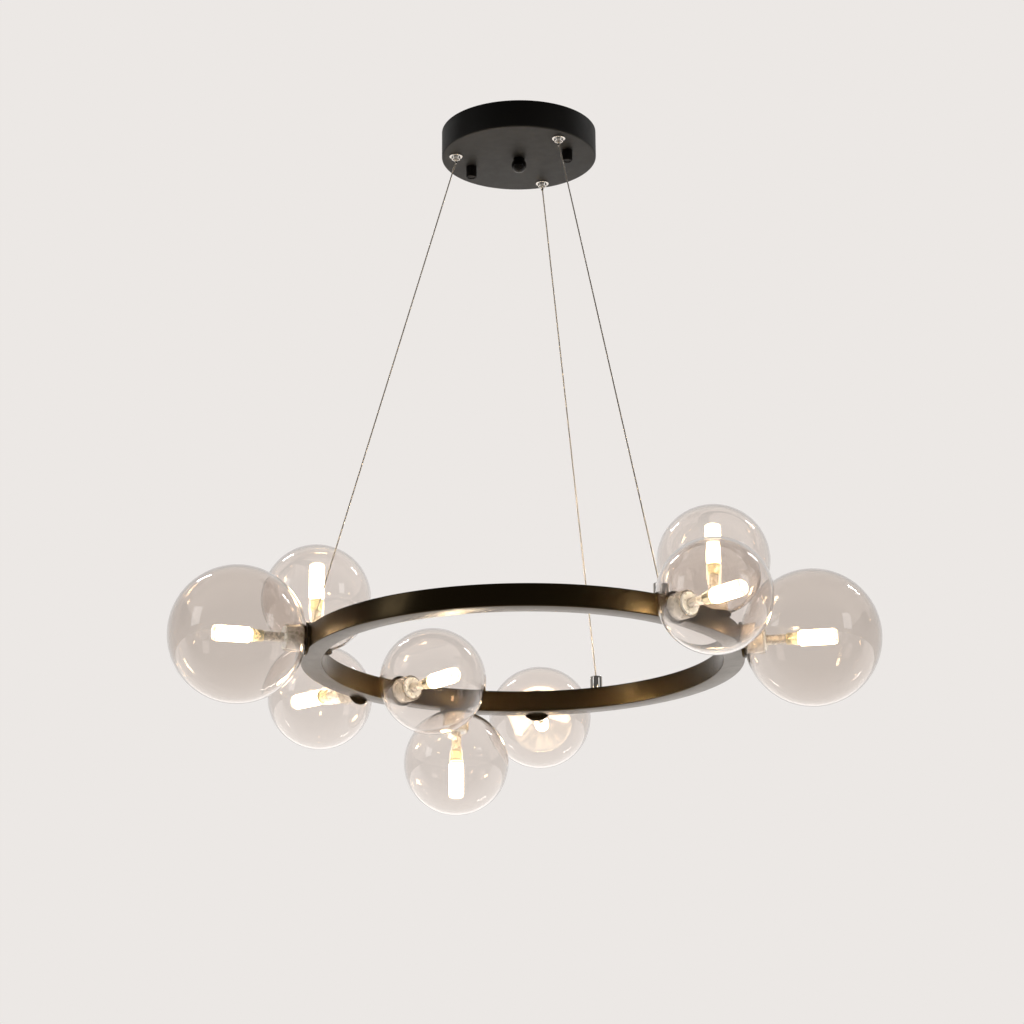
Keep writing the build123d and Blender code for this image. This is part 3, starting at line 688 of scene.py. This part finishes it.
# %% Hoop and ferrules
HOOP_EDGE = 1.2
hoop = turned(
    "hoop",
    eased(
        [
            (RING_OUTER, RING_TOP, HOOP_EDGE),
            (RING_OUTER, RING_BOTTOM, HOOP_EDGE),
            (RING_INNER, RING_BOTTOM, HOOP_EDGE),
            (RING_INNER, RING_TOP, HOOP_EDGE),
        ]
    ),
    steps=256,
    closed=True,
)
dress(hoop, SATIN_ENAMEL, "ring", "satin_black", "ring_tube")
FERRULE_RADIUS, FERRULE_TOP, FERRULE_DIMPLE = 7.0, RING_TOP + 15.0, 0.6
ferrule = turned(
    "ferrule",
    eased(
        [
            (0, RING_TOP),
            (FERRULE_RADIUS, RING_TOP),
            (FERRULE_RADIUS, FERRULE_TOP, 0.6),
            (1.6, FERRULE_TOP, 0.4),
            (0.9, FERRULE_TOP - FERRULE_DIMPLE),
            (0, FERRULE_TOP - FERRULE_DIMPLE),
        ]
    ),
    steps=48,
)
ferrule_places = [Matrix.Translation(around(RING_MEAN, azimuth)) for azimuth in WIRE_AZIMUTHS]
ferrules = copies(ferrule, "ferrules", ferrule_places)
dress(ferrules, CHROME, "ring", "chrome", "wire_ferrules")
print("hoop:", len(hoop.data.polygons), "faces")

# %% [markdown]
# ## Lamp holders
# Each lamp has a black flange on the hoop, a turned aluminium collar with a fine thread and a set
# screw, a satin steel stem and a rounded brass socket. All are lathe work along the lamp's axis.

# %% Flanges and collars
FLANGE_RADIUS, FLANGE_FOOT, FLANGE_TOP = 18.0, -0.5, 2.0
COLLAR_RADIUS, COLLAR_END = 12.0, 25.0
THREAD_START, THREAD_PITCH, THREAD_DEPTH, THREAD_TURNS = 15.0, 1.4, 0.45, 6
flange = turned(
    "flange",
    eased(
        [
            (0, FLANGE_FOOT),
            (FLANGE_RADIUS, FLANGE_FOOT),
            (FLANGE_RADIUS, FLANGE_TOP, 0.5),
            (0, FLANGE_TOP),
        ]
    ),
)
dress(copies(flange, "flanges", LAMP_FRAMES), SATIN_ENAMEL, "ring", "satin_black", "lamp_flanges")

thread = []
for turn in range(THREAD_TURNS):
    start = THREAD_START + turn * THREAD_PITCH
    thread += [(COLLAR_RADIUS, start), (COLLAR_RADIUS - THREAD_DEPTH, start + THREAD_PITCH / 2)]
GROOVE_RADIUS, COLLAR_DIMPLE = COLLAR_RADIUS - 0.7, COLLAR_END - 1.0
collar_foot = [
    (0, FLANGE_TOP),
    (COLLAR_RADIUS, FLANGE_TOP),
    (COLLAR_RADIUS, 13.0, 0.3),
    (GROOVE_RADIUS, 13.3),
    (GROOVE_RADIUS, 14.7),
]
collar_head = [
    (COLLAR_RADIUS, 23.4),
    (COLLAR_RADIUS, COLLAR_END, 0.9),
    (5.6, COLLAR_END, 0.3),
    (5.4, COLLAR_DIMPLE),
    (0, COLLAR_DIMPLE),
]
collar = turned("collar", eased(collar_foot + thread + collar_head, steps=3), steps=72)
dress(copies(collar, "collars", LAMP_FRAMES), ALUMINIUM, "ring", "aluminium", "lamp_collars")
print("flanges and collars:", len(LAMP_FRAMES), "each")

# %% Set screws, stems and sockets
SCREW_RADIUS, SCREW_LEVEL, SCREW_FOOT = 1.5, 8.2, COLLAR_RADIUS - 1.0
SCREW_HEAD, SCREW_RECESS = COLLAR_RADIUS + 0.15, COLLAR_RADIUS - 0.6
screw = turned(
    "set_screw",
    eased(
        [
            (0, SCREW_FOOT),
            (SCREW_RADIUS, SCREW_FOOT),
            (SCREW_RADIUS, SCREW_HEAD, 0.2),
            (0.8, SCREW_HEAD, 0.1),
            (0.7, SCREW_RECESS),
            (0, SCREW_RECESS),
        ],
        steps=2,
    ),
    steps=24,
)
sideways = Matrix.Translation((0, 0, SCREW_LEVEL * MM)) @ Matrix.Rotation(radians(90), 4, "Y")
screws = copies(screw, "set_screws", [place @ sideways for place in LAMP_FRAMES])
dress(screws, DEAD_BLACK, "ring", "matt_black")

STEM_RADIUS, STEM_FOOT, STEM_END = 5.25, COLLAR_END - 2.0, 46.0
stem_profile = [(0, STEM_FOOT), (STEM_RADIUS, STEM_FOOT), (STEM_RADIUS, STEM_END), (0, STEM_END)]
stem = turned("stem", eased(stem_profile), steps=40)
dress(copies(stem, "stems", LAMP_FRAMES), SATIN_TUBE, "ring", "chrome", "lamp_stems")

SOCKET_RADIUS, SOCKET_RIM, SOCKET_END = 6.5, 7.5, 59.0
socket = turned(
    "socket",
    eased(
        [
            (0, STEM_END),
            (SOCKET_RADIUS, STEM_END, 2.5),
            (SOCKET_RADIUS, SOCKET_END - 2.2),
            (SOCKET_RIM, SOCKET_END - 2.0, 0.4),
            (SOCKET_RIM, SOCKET_END, 0.4),
            (0, SOCKET_END),
        ]
    ),
    steps=48,
)
dress(copies(socket, "sockets", LAMP_FRAMES), BRASS, "ring", "brass", "lamp_sockets")
print("set screws, stems and sockets:", len(LAMP_FRAMES), "each")

# %% [markdown]
# ## Capsules, gaskets and globes
# The capsule stands on a short narrow base. The globe is one blown shell: a sphere whose neck turns
# inwards over the collar, so its profile runs down the inside, round the lip and up the outside. The
# faces of the neck take the ground glass.

# %% Capsules and gaskets
BULB_RADIUS, BULB_END, TIP_ROUNDING = 8.5, 101.0, 3.0
BASE_RADIUS, BASE_END = 6.5, SOCKET_END + 2.5
COLUMN_RADIUS, COLUMN_START, COLUMN_TOP, END_DISC = 7.6, SOCKET_END + 3.4, BULB_END - 4.0, 0.8
capsule = turned(
    "capsule",
    eased(
        [
            (0, SOCKET_END),
            (BASE_RADIUS, SOCKET_END),
            (BASE_RADIUS, BASE_END),
            (BULB_RADIUS, BASE_END, 0.5),
            (BULB_RADIUS, BULB_END, TIP_ROUNDING),
            (0, BULB_END),
        ],
        steps=6,
    ),
    steps=48,
)
column = turned(
    "column",
    eased(
        [
            (0, COLUMN_START),
            (COLUMN_RADIUS, COLUMN_START, 0.4),
            (COLUMN_RADIUS, COLUMN_TOP),
            (0, COLUMN_TOP),
        ],
        steps=2,
    ),
    steps=36,
)
end_disc = turned(
    "end_disc",
    eased(
        [
            (0, COLUMN_TOP),
            (COLUMN_RADIUS, COLUMN_TOP),
            (COLUMN_RADIUS, COLUMN_TOP + END_DISC, 0.5),
            (0, COLUMN_TOP + END_DISC),
        ],
        steps=3,
    ),
    steps=36,
)
MOUTH_LEVEL, NECK_INNER, GASKET_RADIUS = 3.0, 12.3, 15.0
gasket_profile = [
    (NECK_INNER, FLANGE_TOP),
    (GASKET_RADIUS, FLANGE_TOP, 0.3),
    (GASKET_RADIUS, MOUTH_LEVEL, 0.3),
    (NECK_INNER, MOUTH_LEVEL),
]
gasket = turned("gasket", eased(gasket_profile, steps=2), closed=True)
for number, place in enumerate(LAMP_FRAMES, start=1):
    bulb = f"bulb_{number}"
    dress(stood(capsule, f"capsule_{number}", place), SLEEVE, bulb, "led_capsule", bulb)
    dress(stood(column, f"capsule_column_{number}", place), COLUMN, bulb, "led_capsule")
    dress(stood(end_disc, f"capsule_end_{number}", place), COLUMN_END, bulb, "led_capsule")
    dress(
        stood(gasket, f"gasket_{number}", place),
        SILICONE,
        f"globe_gasket_{number}",
        "silicone",
        f"globe_gasket_{number}",
    )
for master in (capsule, column, end_disc, gasket):
    bpy.data.objects.remove(master)
print("capsules and gaskets:", len(LAMP_FRAMES), "each")

# %% Globes
GLASS_WALL, MOUTH_RADIUS, NECK_OUTER, NECK_END = 2.0, 17.0, 14.5, 23.0
NECK_MARGIN, SPHERE_STEPS, GLOBE_STEPS, GLOBE_SMOOTHING = 0.1, 56, 96, 50
for number, (place, (azimuth, face, diameter)) in enumerate(zip(LAMP_FRAMES, LAMPS), start=1):
    outside = diameter / 2
    inside = outside - GLASS_WALL
    centre = MOUTH_LEVEL + sqrt(outside**2 - MOUTH_RADIUS**2)
    root = centre - sqrt(inside**2 - NECK_OUTER**2)
    mouth_angle = 180 / pi * atan2(MOUTH_LEVEL - centre, MOUTH_RADIUS)
    root_angle = 180 / pi * atan2(root - centre, NECK_OUTER)
    lip = eased(
        [
            (NECK_OUTER, root),
            (NECK_OUTER, NECK_END, 0.9),
            (NECK_INNER, NECK_END, 0.9),
            (NECK_INNER, MOUTH_LEVEL, 0.6),
            (MOUTH_RADIUS, MOUTH_LEVEL),
        ]
    )
    inner_skin = arc(centre, inside, 90, root_angle, SPHERE_STEPS)[:-1]
    outer_skin = arc(centre, outside, mouth_angle, 90, SPHERE_STEPS)[1:]
    globe = turned(f"globe_{number}_glass", inner_skin + lip + outer_skin, steps=GLOBE_STEPS)
    neck = []
    for polygon in globe.data.polygons:
        middle = polygon.center / MM
        if middle.xy.length < NECK_OUTER + NECK_MARGIN and middle.z < NECK_END:
            neck.append(polygon.index)
    globe.matrix_world = place
    settle(globe, GLOBE_SMOOTHING)
    dress(globe, GLASS[diameter], f"globe_{number}", "clear_glass", f"globe_{number}")
    globe.data.materials.append(GROUND_GLASS)
    for index in neck:
        globe.data.polygons[index].material_index = 1
print("globes:", len(LAMPS), "of", len(globe.data.polygons), "faces")

# %% [markdown]
# ## Hidden pieces
# Bracket, nuts, driver and leads sit inside the canopy and the tube. Their solids have the right
# shape already, so they only take a finish.

# %% Hidden pieces
for name, surface in {
    "ceiling_bracket": ZINC,
    "bracket_studs": ZINC,
    "stud_locknuts": ZINC,
    "finial_nut": ZINC,
    "gripper_nuts": ZINC,
    "ferrule_nuts": ZINC,
    "stem_nuts": ZINC,
    "led_driver": DRIVER_CASE,
    "terminal_block": TERMINAL,
    "driver_leads": SHEATH,
    "feed_leads": SHEATH,
    "ring_harness": SHEATH,
}.items():
    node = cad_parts[name]
    node.data.materials.clear()
    node.data.materials.append(surface)
print("hidden pieces finished")

# %% [markdown]
# ## Studio
# The studio is pale and even, and darker behind the camera, so that the hoop and the canopy stay black
# where they mirror that side. The full pale backdrop is shown only to rays that come straight from the
# camera or through glass. Two softboxes left and right of the camera and two narrow strips high up give
# the globes their small highlights.

# %% Floor
NO_BOUNCE = 0.5


def straight_rays(tree):
    """1 for rays from the camera that nothing but clear glass has turned, 0 after a reflection."""
    path = add_node(tree, "ShaderNodeLightPath")
    turns = add_node(
        tree,
        "ShaderNodeMath",
        {"operation": "ADD"},
        _0=path.outputs["Glossy Depth"],
        _1=path.outputs["Diffuse Depth"],
    )
    unturned = add_node(
        tree, "ShaderNodeMath", {"operation": "LESS_THAN"}, _0=turns.outputs[0], _1=NO_BOUNCE
    )
    looking = add_node(
        tree,
        "ShaderNodeMath",
        {"operation": "MAXIMUM"},
        _0=path.outputs["Is Camera Ray"],
        _1=path.outputs["Is Transmission Ray"],
    )
    straight = add_node(
        tree,
        "ShaderNodeMath",
        {"operation": "MULTIPLY"},
        _0=unturned.outputs[0],
        _1=looking.outputs[0],
    )
    return straight.outputs[0]


PALE = "#ECE8E5"
TOWARDS_BACKDROP = Vector((-sin(radians(CAMERA_YAW)), cos(radians(CAMERA_YAW)), 0))
FLOOR_LEVEL, FLOOR_SIZE, FLOOR_GLOW = -2.35, 60, 0.5
BOUNCE_REACH, NEAR_BOUNCE, FAR_BOUNCE = 0.8, 0.1, 1.2
bpy.ops.object.select_all(action="DESELECT")
bpy.ops.mesh.primitive_plane_add(size=FLOOR_SIZE, location=(0, 0, FLOOR_LEVEL))
floor = bpy.context.object
floor.name = "floor"
floor_paint, tree = new_material("pale_studio_floor")
place = add_node(tree, "ShaderNodeTexCoord")
beyond = add_node(
    tree,
    "ShaderNodeVectorMath",
    {"operation": "DOT_PRODUCT"},
    _0=place.outputs["Object"],
    _1=TOWARDS_BACKDROP,
)
bounce = add_node(
    tree,
    "ShaderNodeMapRange",
    _0=beyond.outputs["Value"],
    _1=-BOUNCE_REACH,
    _2=BOUNCE_REACH,
    _3=NEAR_BOUNCE,
    _4=FAR_BOUNCE,
)
floor_glow = add_node(
    tree,
    "ShaderNodeMapRange",
    _0=straight_rays(tree),
    _3=bounce.outputs[0],
    _4=FLOOR_GLOW,
)
floor_shader = add_node(
    tree,
    "ShaderNodeBsdfPrincipled",
    Base_Color=linear("#E9E5DF"),
    Roughness=0.8,
    Emission_Color=linear(PALE),
    Emission_Strength=floor_glow.outputs[0],
)
add_node(tree, "ShaderNodeOutputMaterial", Surface=floor_shader.outputs[0])
floor.data.materials.append(floor_paint)
print("floor at", FLOOR_LEVEL, "m")

# %% World
DARK_SIDE, DARK_END, PALE_END = 0.12, 0.05, 1.0
world = bpy.data.worlds.new("pale_studio")
bpy.context.scene.world = world
world.use_nodes = True
tree = world.node_tree
tree.nodes.clear()
place = add_node(tree, "ShaderNodeTexCoord")
facing = add_node(
    tree,
    "ShaderNodeVectorMath",
    {"operation": "DOT_PRODUCT"},
    _0=place.outputs["Generated"],
    _1=TOWARDS_BACKDROP,
)
falloff = add_node(
    tree,
    "ShaderNodeMapRange",
    _0=facing.outputs["Value"],
    _1=DARK_END,
    _2=PALE_END,
    _3=DARK_SIDE,
    _4=1.0,
)
backdrop = add_node(tree, "ShaderNodeBackground", Color=linear(PALE), Strength=1.0)
surround = add_node(tree, "ShaderNodeBackground", Color=linear(PALE), Strength=falloff.outputs[0])
blend = add_node(
    tree,
    "ShaderNodeMixShader",
    _0=straight_rays(tree),
    _1=surround.outputs[0],
    _2=backdrop.outputs[0],
)
add_node(tree, "ShaderNodeOutputWorld", Surface=blend.outputs[0])
print("world made:", world.name)

# %% Lights: place and size in metres, power in watts
HOOP_CENTRE = Vector((0, 0, RING_MIDDLE * MM))
LIGHTS = {
    "left_softbox": ((-1.9, -1.9, 0.2), (0.7, 1.1), 4.0),
    "right_softbox": ((2.9, -0.6, 0.1), (0.7, 1.1), 4.0),
    "left_strip": ((-2.0, 0.8, 1.7), (0.1, 0.6), 6.0),
    "right_strip": ((1.5, 2.0, 1.7), (0.1, 0.6), 6.0),
}
for name, (place, size, power) in LIGHTS.items():
    aim = (HOOP_CENTRE - Vector(place)).to_track_quat("-Z", "Y").to_euler()
    bpy.ops.object.light_add(type="AREA", location=place, rotation=aim)
    light = bpy.context.object
    light.name = name
    light.data.shape = "RECTANGLE"
    light.data.size, light.data.size_y = size
    light.data.energy = power
print("lights:", len(LIGHTS))

# %% [markdown]
# ## Colour management
# The Standard view shows the colours as they are written.

# %% Finish
bpy.context.scene.view_settings.view_transform = "Standard"
